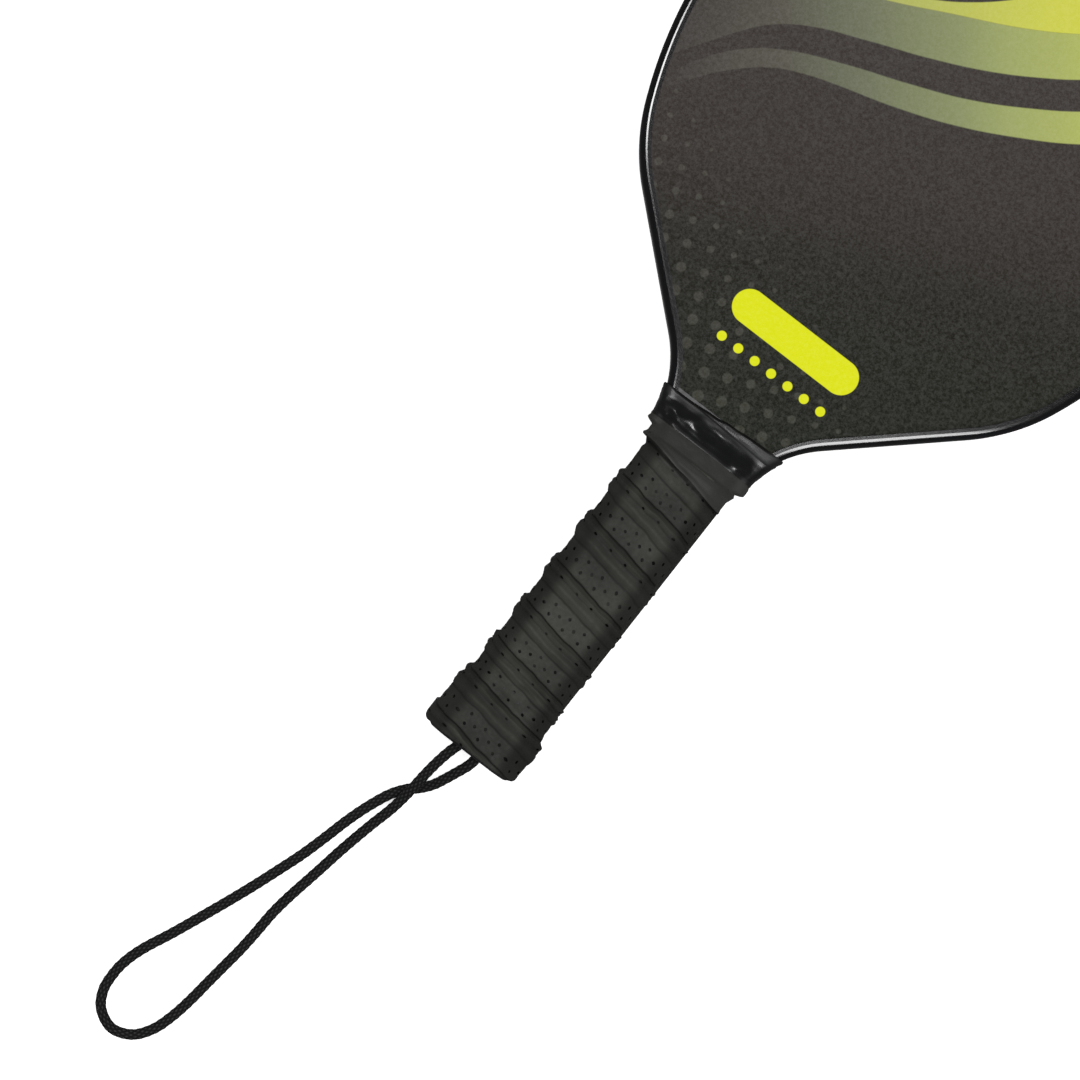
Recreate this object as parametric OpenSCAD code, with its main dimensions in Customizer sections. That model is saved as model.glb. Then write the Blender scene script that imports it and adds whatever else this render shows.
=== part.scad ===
// A pickleball paddle: a honeycomb board in an edge guard, on a wrapped handle with a wrist cord.
// It lies face up: +Y runs to the face's tip, +Z out of the front face, and z = 0 is the floor.

/* [Face] */
// Length over all, from the butt to the tip of the face
overall_len = 400; // [380:1:430]
// Width of the face over its edge guard
face_w = 200; // [180:1:210]
// Radius of the two corners beside the tip
corner_r = 48; // [30:1:60]
// Half of the angle that the arched tip turns through
tip_a = 12; // [6:1:20]
// Radius of a shoulder next to its flank
shoulder_r = 70; // [50:1:80]
// Angle that this radius turns through
shoulder_a = 25; // [15:1:35]
// Radius that leads from a shoulder into the straight side
side_r = 158; // [120:1:170]

/* [Neck] */
// Length of the handle, from the butt to where the neck starts to widen
handle_len = 123; // [110:1:140]
// How far the guard stands out past each side of the grip, where the neck starts to widen
neck_step = 2; // [1:0.25:4]
// Radius of the hollow curve between the handle and a flank
neck_r = 42; // [36:1:50]
// Angle of the flanks from the paddle's long axis
flank_a = 48; // [42:1:54]

/* [Board] */
// Thickness of the honeycomb core
core_t = 12; // [8:0.5:14]
// Thickness of each face skin
skin_t = 0.5; // [0.4:0.05:1]
// Thickness of each printed film
film_t = 0.2; // [0.1:0.05:0.4]
// Distance from one honeycomb cell to the next
cell_pitch = 12; // [10:0.5:16]
// Wall between two honeycomb cells
cell_wall = 1; // [0.6:0.1:2]
// Solid rim around the cells
core_rim = 3; // [2:0.5:6]

/* [Edge guard] */
// Thickness of the guard, from its front to its back
guard_t = 16.5; // [15.6:0.1:20]
// Wall around the edge of the board
guard_wall = 1.4; // [1:0.1:2]
// Width of the guard as seen from the front
guard_lip = 3.8; // [3:0.1:6]
// Radius of the guard's rounded outer corners
guard_round = 2.6; // [1:0.1:3]

/* [Handle] */
// Width of the wrapped grip
grip_w = 34; // [32:0.5:37]
// Thickness of the wrapped grip
grip_t = 31; // [27:0.5:34]
// Leg of the bevels between the grip's flats
grip_bevel = 6; // [4:0.5:8]
// Thickness of the grip wrap
wrap_t = 1.6; // [1:0.1:2.4]
// Width of the flared butt
butt_w = 39; // [38:0.5:44]
// Thickness of the flared butt
butt_t = 36; // [34:0.5:40]
// Length of the flare
flare_len = 17; // [10:1:22]

/* [Tapes] */
// Length of the matte finishing tape above the grip wrap
tape_len = 10; // [8:0.5:16]
// Length of the glossy throat collar above the finishing tape
collar_len = 11.5; // [8:0.5:16]
// Thickness of the tape and of the collar
tape_t = 0.8; // [0.5:0.1:1.5]

/* [Butt cap] */
// Thickness of the cap's end wall
cap_wall = 3; // [2:0.5:5]
// Thickness of the skirt around the end of the handle
skirt_t = 1.4; // [1:0.1:2]
// Height of the skirt's edge above the butt
skirt_len = 26; // [22:1:32]
// Height of the room for the cord's knot
knot_room = 12; // [10:0.5:14]

/* [Wrist cord] */
// Thickness of the braided cord
cord_d = 3.8; // [3:0.1:4.5]
// Distance between the cord's two holes in the cap
cord_gap = 7.6; // [6:0.1:9]

/* [Staples] */
// Width of a staple's crown
staple_w = 8; // [6:0.5:10]
// Thickness of the staple wire
staple_wire = 0.7; // [0.5:0.1:1]
// Length of a staple's legs
staple_leg = 4; // [3:0.5:5]

/* [Hidden] */
$fn = 48;

fit = 0.1;          // clearance between pieces that are bonded, pushed or wrapped together
arc_step = 2.5;     // degrees between the points of a curved outline
over = 1;           // how far a cut runs past the faces that it opens
bevel_share = 2 - sqrt(2);  // what a bevel's leg gains as its section grows by 1 all round

butt_y = -overall_len / 2;
tip_y = overall_len / 2;
mid_z = butt_t / 2;
neck_y = butt_y + handle_len;
neck_w = grip_w + 2 * neck_step;
board_t = core_t + 2 * skin_t;
face_half_t = board_t / 2 + film_t;

// The pallets carry the wrap, and the cap's skirt is flush with them
pallet_w = grip_w - 2 * wrap_t - 2 * fit;
pallet_t = grip_t - 2 * wrap_t - 2 * fit;
spigot_w = pallet_w - 2 * skirt_t - 2 * fit;
spigot_t = pallet_t - 2 * skirt_t - 2 * fit;
skirt_y = butt_y + skirt_len;
spigot_y = butt_y + cap_wall + knot_room;

// The wrap, the tape and the collar follow one another up the handle
tape_y = neck_y - 3.2;
collar_y = tape_y + tape_len;
throat_y = collar_y + collar_len;
guard_low_y = collar_y + 0.8;
ramp_low_y = neck_y - 2;
ramp_top_y = throat_y - 1.5;
ramp_toe = 0.6;

// The outline's right half as moves: [radius, turn] for an arc, [0, length] for a straight.
// It starts at the neck and heads for the tip, and a turn to the left is positive.
neck_gain = neck_r * (1 - cos(flank_a));
shoulder_gain = shoulder_r * (cos(flank_a - shoulder_a) - cos(flank_a));
side_gain = side_r * (1 - cos(flank_a - shoulder_a));
flank_len = (face_w / 2 - neck_w / 2 - neck_gain - shoulder_gain - side_gain) / sin(flank_a);
tip_r = (face_w / 2 - corner_r * (1 - sin(tip_a))) / sin(tip_a);
corner_y = tip_y - tip_r * (1 - cos(tip_a)) - corner_r * cos(tip_a);
side_y = neck_y + neck_r * sin(flank_a) + flank_len * cos(flank_a)
         + shoulder_r * (sin(flank_a) - sin(flank_a - shoulder_a)) + side_r * sin(flank_a - shoulder_a);
moves = [
    [neck_r, -flank_a],
    [0, flank_len],
    [shoulder_r, shoulder_a],
    [side_r, flank_a - shoulder_a],
    [0, corner_y - side_y],
    [corner_r, 90 - tip_a],
    [tip_r, tip_a]
];

function left_of(h) = [-sin(h), cos(h)];
function ahead_of(h) = [cos(h), sin(h)];
function turned(h, m) = m[0] == 0 ? h : h + m[1];
function arc_centre(p, h, m) = p + m[0] * sign(m[1]) * left_of(h);
function move_end(p, h, m) = m[0] == 0
    ? p + m[1] * ahead_of(h)
    : arc_centre(p, h, m) - m[0] * sign(m[1]) * left_of(h + m[1]);
// The place and heading at the start of every move
function stops(i, p, h) = i == len(moves)
    ? [[p, h]]
    : concat([[p, h]], stops(i + 1, move_end(p, h, moves[i]), turned(h, moves[i])));
outline_stops = stops(0, [neck_w / 2, neck_y], 90);

// [place, outward direction] along one move, from skip degrees into its turn
function move_path(p, h, m, skip) = m[0] == 0
    ? [[p, -left_of(h)]]
    : let (n = ceil((abs(m[1]) - skip) / arc_step), c = arc_centre(p, h, m), way = sign(m[1]))
      [for (k = [0 : n - 1])
          let (side = left_of(h + way * (skip + (abs(m[1]) - skip) * k / n)))
          [c - m[0] * way * side, -side]];
function half_path(skip) = concat(
    [for (i = [0 : len(moves) - 1])
        each move_path(outline_stops[i][0], outline_stops[i][1], moves[i], i == 0 ? skip : 0)],
    [[[0, tip_y], [0, 1]]]);
function grown(path, grow) = [for (stop = path) stop[0] + grow * stop[1]];
function flipped(v) = [-v[0], v[1]];
function both_sides(half) = concat(half, [for (i = [len(half) - 1 : -1 : 0]) flipped(half[i])]);
function face_outline(grow) = both_sides(grown(half_path(0), grow));
// The board goes on as a tongue down the whole handle, below the throat
function board_outline(grow) = both_sides(concat(
    [[spigot_w / 2, spigot_y], [spigot_w / 2, skirt_y + fit],
     [pallet_w / 2, skirt_y + fit], [pallet_w / 2, tape_y]],
    grown(half_path(0), grow)));

board_inset = guard_wall + fit;

// An octagon with the grip's bevel, kept parallel to it at any size
module octagon(w, t) {
    bevelled(w, t, grip_bevel + (w - grip_w) / 2 * bevel_share);
}

module bevelled(w, t, c) {
    x = w / 2;
    y = t / 2;
    polygon([[x, y - c], [x - c, y], [c - x, y], [-x, y - c],
             [-x, c - y], [c - x, -y], [x - c, -y], [x, c - y]]);
}

// A section in x and z, drawn out from one y to another
module along_y(from, to) {
    translate([0, to, mid_z]) rotate([90, 0, 0]) linear_extrude(to - from) children();
}

// A side profile in y and z, drawn out across the handle
module across_x(w) {
    translate([-w / 2, 0, mid_z]) rotate([90, 0, 90]) linear_extrude(w) children();
}

// The part of the plan between two heights
module band(from, to) {
    translate([-face_w / 2, from]) square([face_w, to - from]);
}

// A flat sheet whose lower face is at z above the board's middle
module sheet(z, t) {
    translate([0, 0, mid_z + z]) linear_extrude(t) children();
}

module cells() {
    row = cell_pitch * sqrt(3) / 2;
    columns = ceil(face_w / cell_pitch / 2);
    rows = ceil(overall_len / row / 2);
    for (j = [-rows : rows], i = [-columns : columns])
        translate([(i + (j % 2 == 0 ? 0 : 0.5)) * cell_pitch, j * row])
            rotate(30) circle(r = (cell_pitch - cell_wall) / sqrt(3), $fn = 6);
}

module honeycomb_core() {
    color("gainsboro") sheet(-core_t / 2, core_t) difference() {
        intersection() {
            polygon(board_outline(-board_inset));
            band(throat_y, tip_y);
        }
        intersection() {
            cells();
            polygon(face_outline(-board_inset - core_rim));
            band(throat_y + core_rim, tip_y);
        }
    }
}

// The solid strip between the skins that goes on from the honeycomb down the handle
module handle_core() {
    color("tan") sheet(-core_t / 2, core_t) intersection() {
        polygon(board_outline(-board_inset));
        band(spigot_y, throat_y - fit);
    }
}

module front_skin() {
    color("dimgray") sheet(core_t / 2, skin_t) polygon(board_outline(-board_inset));
}

module back_skin() {
    color("dimgray") sheet(-board_t / 2, skin_t) polygon(board_outline(-board_inset));
}

// The print stops just inside the guard's lip and above the collar
module print_shape() {
    intersection() {
        polygon(face_outline(-guard_lip - fit));
        band(throat_y + fit, tip_y);
    }
}

module front_print_film() {
    color("darkslategray") sheet(board_t / 2, film_t) print_shape();
}

module back_print_film() {
    color("darkslategray") sheet(-board_t / 2 - film_t, film_t) print_shape();
}

// A U channel with rounded outer corners: x runs outwards from the guard's outer edge
guard_slot = board_t / 2 + film_t + fit;
guard_section = concat(
    [[-guard_lip, -guard_t / 2]],
    [for (side = [-1, 1], k = [0 : 4]) let (a = side < 0 ? 22.5 * k - 90 : 22.5 * k)
        [guard_round * (cos(a) - 1), side * (guard_t / 2 - guard_round) + guard_round * sin(a)]],
    [[-guard_lip, guard_t / 2], [-guard_lip, guard_slot], [-guard_wall, guard_slot],
     [-guard_wall, -guard_slot], [-guard_lip, -guard_slot]]);

// The channel follows the outline from one side of the throat round to the other
module edge_guard() {
    half = half_path(asin((guard_low_y - neck_y) / neck_r));
    last = len(half) - 1;
    path = concat(half, [for (i = [last - 1 : -1 : 0]) [flipped(half[i][0]), flipped(half[i][1])]]);
    sides = len(guard_section);
    points = [for (stop = path, corner = guard_section)
        let (place = stop[0] + corner[0] * stop[1]) [place[0], place[1], mid_z + corner[1]]];
    faces = concat(caps(len(path), sides), walls(len(path), sides, false));
    color("black") polyhedron(points, faces, convexity = 6);
}

// The foam half that rounds one side of the tongue into a handle, ramped down at the throat
module pallet() {
    foot = board_t / 2;
    top = pallet_t / 2;
    intersection() {
        union() {
            along_y(skirt_y + fit, ramp_top_y) octagon(pallet_w, pallet_t);
            along_y(spigot_y, ramp_top_y) octagon(spigot_w, spigot_t);
        }
        across_x(pallet_w) polygon([
            [spigot_y, foot + fit / 2], [ramp_top_y, foot + fit / 2], [ramp_top_y, foot + ramp_toe],
            [ramp_low_y, top], [spigot_y, top]]);
    }
}

module front_handle_pallet() {
    color("burlywood") difference() {
        pallet();
        staples(fit / 2);
    }
}

module back_handle_pallet() {
    color("burlywood") difference() {
        translate([0, 0, 2 * mid_z]) mirror([0, 0, 1]) pallet();
        staples(fit / 2);
    }
}

module butt_cap() {
    rim_w = butt_w - 2 * wrap_t;
    rim_t = butt_t - 2 * wrap_t;
    color("black") difference() {
        union() {
            along_y(butt_y, skirt_y) octagon(pallet_w, pallet_t);
            hull() {
                along_y(butt_y, butt_y + cap_wall) octagon(rim_w, rim_t);
                along_y(butt_y, butt_y + flare_len) octagon(pallet_w, pallet_t);
            }
        }
        along_y(butt_y + cap_wall, skirt_y + over) octagon(pallet_w - 2 * skirt_t, pallet_t - 2 * skirt_t);
        for (side = [-1, 1])
            translate([side * cord_gap / 2, butt_y + cap_wall + over, mid_z])
                rotate([90, 0, 0]) cylinder(d = cord_d + 2 * fit, h = cap_wall + 2 * over);
        staples(fit / 2);
        side_staple(fit / 2);
    }
}

// A staple pressed down through a flat: its crown is flush with the flat at z = 0
module staple(leg, grow) {
    wire = staple_wire + 2 * grow;
    translate([-staple_w / 2 - grow, -wire / 2, grow - wire]) cube([staple_w + 2 * grow, wire, wire]);
    for (side = [-1, 1])
        translate([side * (staple_w - staple_wire) / 2 - wire / 2, -wire / 2, -leg - grow])
            cube([wire, wire, leg + 2 * grow]);
}

staple_y = (butt_y + flare_len + skirt_y) / 2;

// One staple on the front flat and one on the back flat
module staples(grow) {
    for (turn = [0, 180])
        translate([0, staple_y, mid_z]) rotate([0, turn, 0])
            translate([0, 0, pallet_t / 2]) staple(staple_leg, grow);
}

// The staple that holds the start of the wrap, clinched inside the skirt
module side_staple(grow) {
    translate([-pallet_w / 2, staple_y, mid_z]) rotate([0, -90, 0])
        rotate(90) staple(skirt_t, grow);
}

module cap_staples() {
    color("silver") staples(0);
}

module grip_staple() {
    color("silver") side_staple(0);
}

module grip_wrap() {
    low = butt_y + 0.4;
    color("#3b3c37") difference() {
        union() {
            along_y(low, tape_y - fit) octagon(grip_w, grip_t);
            hull() {
                along_y(low, low + cap_wall) octagon(butt_w, butt_t);
                along_y(low, butt_y + flare_len) octagon(grip_w, grip_t);
            }
        }
        along_y(low - over, tape_y + over) octagon(grip_w - 2 * wrap_t, grip_t - 2 * wrap_t);
        hull() {
            along_y(low - over, low + cap_wall) octagon(butt_w - 2 * wrap_t + fit, butt_t - 2 * wrap_t + fit);
            along_y(low - over, butt_y + flare_len + fit) octagon(grip_w - 2 * wrap_t, grip_t - 2 * wrap_t);
        }
    }
}

// A thin tube of tape that tapers between two bevelled sections, each [w, t, bevel] of its inside
module tape_tube(low_y, low, top_y, top) {
    difference() {
        hull() {
            along_y(low_y, low_y + fit) around(low, tape_t);
            along_y(top_y - fit, top_y) around(top, tape_t);
        }
        hull() {
            along_y(low_y - fit, low_y + fit) around(low, 0);
            along_y(top_y - fit, top_y + fit) around(top, 0);
        }
    }
}

// A bevelled section grown evenly all round
module around(section, grow) {
    bevelled(section[0] + 2 * grow, section[1] + 2 * grow, section[2] + bevel_share * grow);
}

// Half width over the guard at a height on the neck's curve
function neck_half(y) = neck_w / 2 + neck_r * (1 - sqrt(1 - pow((y - neck_y) / neck_r, 2)));
function ramp_half(y) = board_t / 2 + ramp_toe
    + (pallet_t / 2 - board_t / 2 - ramp_toe) * (ramp_top_y - y) / (ramp_top_y - ramp_low_y);

// The insides of the tape and the collar, from the grip's top up to the face
guard_bevel = guard_round * bevel_share;
tape_low = [grip_w - 2 * fit, grip_t - 2 * wrap_t + 1.5, grip_bevel - wrap_t * bevel_share];
tape_top = [2 * (neck_half(collar_y) + fit), 2 * (ramp_half(collar_y) + 4 * fit),
            ramp_half(collar_y) - guard_t / 2 + guard_bevel];
collar_top = [2 * (neck_half(throat_y) + fit), guard_t + 4 * fit, guard_bevel];

module finishing_tape() {
    color("#45453f") tape_tube(tape_y, tape_low, collar_y - fit / 2, tape_top);
}

module throat_collar() {
    color("black") tape_tube(collar_y + fit / 2, tape_top, throat_y, collar_top);
}

// The cord's way round, from one hole of the cap to the other, for a butt at route_butt_y
route_butt_y = -200;
cord_z = cord_d / 2 + 0.05;
cord_route = [
    [-3.8, -196.5, 18], [-3.8, -200, 18], [-5, -204.5, 17.6], [-6, -210, 16], [-6.6, -215.5, 13.9],
    [-7, -221, 11.4], [-7.6, -227, 8.6], [-8.6, -233, 6], [-10.6, -241.2, 3.4], [-13.2, -253.4, cord_z],
    [-15.4, -265.5, cord_z], [-17.7, -277.7, cord_z], [-18.8, -286, cord_z], [-19.2, -294, cord_z],
    [-19.8, -302, cord_z], [-20.8, -310, cord_z], [-21.8, -318, cord_z], [-22.8, -326.2, cord_z],
    [-24.3, -334.3, cord_z], [-26.8, -341.8, cord_z], [-31.4, -347.8, cord_z], [-38.4, -350.3, cord_z],
    [-45, -347.4, cord_z], [-48.4, -342, cord_z], [-49.2, -336, cord_z], [-48.7, -329.8, cord_z],
    [-46.4, -322.2, cord_z], [-41.8, -312, cord_z], [-37.6, -302, cord_z], [-33.5, -292, cord_z],
    [-29.6, -282, cord_z], [-26, -272, cord_z], [-22.9, -263, cord_z], [-20.2, -253.4, cord_z],
    [-18.1, -245.3, cord_z], [-15.5, -237.2, 2.3], [-12.1, -229, 3.6], [-8.6, -223.8, 5.4],
    [-4.8, -220, 7.6], [-2.1, -216.3, 10.4], [-0.2, -212.2, 13.2], [1.6, -207.8, 15.8],
    [3.2, -203.6, 17.5], [3.8, -200, 18], [3.8, -196.5, 18]
];

// A point of the smooth curve through four neighbours, t of the way from b to c
function spline(a, b, c, d, t) =
    b + t * ((c - a) / 2 + t * ((2 * a - 5 * b + 4 * c - d) / 2 + t * (3 * b - a - 3 * c + d) / 2));
function smooth(route, parts) = let (last = len(route) - 1) concat(
    [for (i = [0 : last - 1], k = [0 : parts - 1])
        spline(route[max(i - 1, 0)], route[i], route[i + 1], route[min(i + 2, last)], k / parts)],
    [route[last]]);

function unit(v) = v / norm(v);
// A ring across the path at p, facing along t, with one axis kept level
function ring(p, t, r, sides) =
    let (u = unit(cross(t, [0, 0, 1])), v = cross(u, t))
    [for (k = [0 : sides - 1]) p + r * (cos(360 * k / sides) * u + sin(360 * k / sides) * v)];
function walls(rings, sides, closed) = [
    for (i = [0 : rings - (closed ? 1 : 2)], k = [0 : sides - 1])
        let (a = i * sides, b = (i + 1) % rings * sides, n = (k + 1) % sides)
        each [[a + k, b + n, b + k], [a + k, a + n, b + n]]
];
// The two end faces of a sweep
function caps(rings, sides) = [
    [for (k = [sides - 1 : -1 : 0]) k],
    [for (k = [0 : sides - 1]) (rings - 1) * sides + k]
];

module wrist_cord() {
    sides = 8;
    path = smooth(cord_route, 2);
    last = len(path) - 1;
    rings = [for (i = [0 : last])
        ring(path[i], unit(path[min(i + 1, last)] - path[max(i - 1, 0)]), cord_d / 2, sides)];
    color("black") translate([0, butt_y - route_butt_y, 0])
        polyhedron([for (r = rings) each r], concat(caps(last + 1, sides), walls(last + 1, sides, false)));
}

// The knot behind the cap's end wall: a trefoil lying across the handle
knot_size = cord_d * 0.84;
knot_gap = 0.6;
function knot_at(t) = knot_size * [sin(t) + 2 * sin(2 * t), -sin(3 * t), cos(t) - 2 * cos(2 * t)];
function knot_way(t) = unit([cos(t) + 4 * cos(2 * t), -3 * cos(3 * t), 4 * sin(2 * t) - sin(t)]);

module cord_knot() {
    sides = 8;
    rings = 48;
    thick = cord_d / 2 - fit;
    points = [for (i = [0 : rings - 1]) let (t = 360 * i / rings, way = knot_way(t),
        u = unit(cross(way, [0, 1, 0])), v = cross(u, way))
        each [for (k = [0 : sides - 1])
            knot_at(t) + thick * (cos(360 * k / sides) * u + sin(360 * k / sides) * v)]];
    color("black") translate([0, butt_y + cap_wall + knot_gap + thick + knot_size, mid_z])
        polyhedron(points, walls(rings, sides, true));
}

honeycomb_core();
handle_core();
front_skin();
back_skin();
front_print_film();
back_print_film();
edge_guard();
front_handle_pallet();
back_handle_pallet();
butt_cap();
cap_staples();
grip_staple();
grip_wrap();
finishing_tape();
throat_collar();
wrist_cord();
cord_knot();
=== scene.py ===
import math

import bpy
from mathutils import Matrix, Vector, noise


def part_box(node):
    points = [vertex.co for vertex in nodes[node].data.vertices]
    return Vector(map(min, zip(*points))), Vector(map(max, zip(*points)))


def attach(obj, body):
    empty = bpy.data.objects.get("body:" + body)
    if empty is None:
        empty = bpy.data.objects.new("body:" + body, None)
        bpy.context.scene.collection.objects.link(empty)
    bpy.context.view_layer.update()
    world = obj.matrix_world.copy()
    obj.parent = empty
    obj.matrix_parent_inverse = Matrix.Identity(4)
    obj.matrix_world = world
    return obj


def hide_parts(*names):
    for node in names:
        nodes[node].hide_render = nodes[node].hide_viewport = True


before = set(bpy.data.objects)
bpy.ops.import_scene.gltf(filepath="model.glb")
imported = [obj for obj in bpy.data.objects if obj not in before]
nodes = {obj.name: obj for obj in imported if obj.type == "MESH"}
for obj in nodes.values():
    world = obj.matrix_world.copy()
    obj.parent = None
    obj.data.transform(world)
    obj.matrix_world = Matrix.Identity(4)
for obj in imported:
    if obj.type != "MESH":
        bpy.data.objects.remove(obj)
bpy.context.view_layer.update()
mm = 0.001
guardLow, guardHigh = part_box("edge_guard")
gripLow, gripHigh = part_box("grip_wrap")
midZ = (gripLow.z + gripHigh.z) / 2  # the middle of the board and of the handle
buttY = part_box("butt_cap")[0].y


# ---- helpers for modelling

def activate(piece):
    bpy.ops.object.select_all(action="DESELECT")
    piece.select_set(True)
    bpy.context.view_layer.objects.active = piece


def editMode(piece, kind="VERT"):
    activate(piece)
    bpy.ops.object.mode_set(mode="EDIT")
    bpy.ops.mesh.select_mode(type=kind)


def objectMode():
    bpy.ops.object.mode_set(mode="OBJECT")


def pick(piece, kind, test):
    # selects the vertices, edges or faces that pass the test, and stays in edit mode
    editMode(piece, kind)
    bpy.ops.mesh.select_all(action="DESELECT")
    objectMode()
    mesh = piece.data
    for part in {"VERT": mesh.vertices, "EDGE": mesh.edges, "FACE": mesh.polygons}[kind]:
        part.select = test(part)
    editMode(piece, kind)


def applyPlace(piece):
    activate(piece)
    bpy.ops.object.transform_apply(location=True, rotation=True, scale=True)


def applyModifiers(piece):
    activate(piece)
    for modifier in list(piece.modifiers):
        bpy.ops.object.modifier_apply(modifier=modifier.name)


def tidyMesh(piece, reach=0.01 * mm):
    # welds what meets and turns every face outwards
    editMode(piece)
    bpy.ops.mesh.select_all(action="SELECT")
    bpy.ops.mesh.remove_doubles(threshold=reach)
    bpy.ops.mesh.normals_make_consistent(inside=False)
    objectMode()


def smooth(piece, degrees):
    activate(piece)
    bpy.ops.object.shade_smooth_by_angle(angle=math.radians(degrees))


def settle(piece, name, material, slotName, *standsFor):
    piece.name = name
    piece.data.name = name
    piece.data.materials.clear()
    piece.data.materials.append(material)
    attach(piece, "root")
    if standsFor:
        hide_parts(*standsFor)
    print("made", name, len(piece.data.polygons), "faces")


def ease(value, low, high):
    # 0 below low, 1 above high, and a soft step between
    share = min(1, max(0, (value - low) / (high - low)))
    return share * share * (3 - 2 * share)


def through(knots, value):
    # the soft line through knots of (place, height), level at every knot
    for (a, low), (b, high) in zip(knots, knots[1:]):
        if value < b:
            return low + (high - low) * ease(value, a, b)
    return knots[-1][1]


def spline(points, steps):
    # the smooth curve through points, with so many steps between two of them
    curve = []
    last = len(points) - 1
    for i in range(last):
        a, b, c, d = (points[min(max(i + k, 0), last)] for k in (-1, 0, 1, 2))
        for k in range(steps):
            t = k / steps
            curve.append(b + ((c - a) / 2 + ((2 * a - 5 * b + 4 * c - d) / 2
                              + (3 * b - a - 3 * c + d) / 2 * t) * t) * t)
    return curve + [points[last]]


# ---- helpers for materials

def tone(red, green, blue):
    # a colour given in screen values, from 0 to 255
    def light(value):
        value = value / 255
        return value / 12.92 if value <= 0.04045 else ((value + 0.055) / 1.055) ** 2.4
    return (light(red), light(green), light(blue), 1)


class Signal:
    # a socket of a material, with Python's own operators
    def __init__(self, look, socket):
        self.look = look
        self.socket = socket

    def maths(self, operation, *values):
        return self.look.node("ShaderNodeMath", {"operation": operation}, dict(enumerate(values)))

    def __add__(self, other):
        return self.maths("ADD", self, other)

    def __radd__(self, other):
        return self.maths("ADD", other, self)

    def __sub__(self, other):
        return self.maths("SUBTRACT", self, other)

    def __rsub__(self, other):
        return self.maths("SUBTRACT", other, self)

    def __mul__(self, other):
        return self.maths("MULTIPLY", self, other)

    def __rmul__(self, other):
        return self.maths("MULTIPLY", other, self)

    def __truediv__(self, other):
        return self.maths("DIVIDE", self, other)

    def __rtruediv__(self, other):
        return self.maths("DIVIDE", other, self)

    def __pow__(self, other):
        return self.maths("POWER", self, other)

    def __abs__(self):
        return self.maths("ABSOLUTE", self)


class Look:
    # one material, built round its Principled shader
    def __init__(self, name, **fixed):
        self.material = bpy.data.materials.new(name)
        self.material.use_nodes = True
        self.tree = self.material.node_tree
        self.shader = self.tree.nodes["Principled BSDF"]
        for key, value in fixed.items():
            self.shader.inputs[key.replace("_", " ")].default_value = value

    def node(self, kind, settings=None, inputs=None, output=0):
        made = self.tree.nodes.new(kind)
        for key, value in (settings or {}).items():
            if key == "stops":
                self.setStops(made.color_ramp, value)
            elif key == "line":
                self.setLine(made.mapping, value)
            else:
                setattr(made, key, value)
        for key, value in (inputs or {}).items():
            self.feed(made.inputs[key], value)
        return Signal(self, made.outputs[output])

    def setStops(self, ramp, stops):
        while len(ramp.elements) < len(stops):
            ramp.elements.new(1)
        for element, (place, colour) in zip(ramp.elements, stops):
            element.position = place
            element.color = colour

    def setLine(self, mapping, points):
        curve = mapping.curves[0]
        while len(curve.points) < len(points):
            curve.points.new(1, 1)
        for point, place in zip(curve.points, points):
            point.location = place
        mapping.update()

    def feed(self, socket, value):
        if isinstance(value, Signal):
            self.tree.links.new(value.socket, socket)
        else:
            socket.default_value = value

    def give(self, **signals):
        for key, value in signals.items():
            self.feed(self.shader.inputs[key.replace("_", " ")], value)
        return self.material

    def objectPlace(self):
        return self.node("ShaderNodeTexCoord", output="Object")

    def split(self, vector, scale=1):
        parts = [self.node("ShaderNodeSeparateXYZ", None, {0: vector}, axis) for axis in "XYZ"]
        return [part * scale for part in parts]

    def joined(self, x, y, z=0):
        return self.node("ShaderNodeCombineXYZ", None, {0: x, 1: y, 2: z})

    def grain(self, vector, scale, detail=2, rough=0.5):
        return self.node("ShaderNodeTexNoise", None,
                         {"Vector": vector, "Scale": scale, "Detail": detail, "Roughness": rough})

    def cells(self, vector, scale, feature="F1"):
        return self.node("ShaderNodeTexVoronoi", {"feature": feature}, {"Vector": vector, "Scale": scale})

    def rise(self, value, low, high, bottom=0, top=1):
        return self.node("ShaderNodeMapRange", {"interpolation_type": "SMOOTHSTEP"},
                         {"Value": value, "From Min": low, "From Max": high, "To Min": bottom, "To Max": top})

    def ramp(self, value, stops):
        return self.node("ShaderNodeValToRGB", {"stops": stops}, {0: value})

    def mix(self, share, first, second, blend="MIX"):
        return self.node("ShaderNodeMix", {"data_type": "RGBA", "blend_type": blend},
                         {0: share, 6: first, 7: second}, 2)

    def bump(self, height, depth, strength=1, under=None):
        inputs = {"Height": height, "Distance": depth, "Strength": strength}
        if under:
            inputs["Normal"] = under
        return self.node("ShaderNodeBump", None, inputs, "Normal")


# ---- camera

cameraPlan = {
    "aim": (-24.4, -128.2, 20),  # mm
    "turn": 37.7,                # degrees about +Z
    "distance": 1600,            # mm above the aim
    "seen": 366,                 # mm across the view at the aim
    "sensor": 36,
}


def makeCamera():
    x, y, z = cameraPlan["aim"]
    distance = cameraPlan["distance"]
    bpy.ops.object.camera_add(location=(x * mm, y * mm, (z + distance) * mm),
                              rotation=(0, 0, math.radians(cameraPlan["turn"])))
    camera = bpy.context.object
    camera.data.sensor_width = cameraPlan["sensor"]
    camera.data.lens = cameraPlan["sensor"] * distance / cameraPlan["seen"]
    bpy.context.scene.camera = camera
    print("camera", round(camera.data.lens), "mm")


# ---- wrist cord

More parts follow.
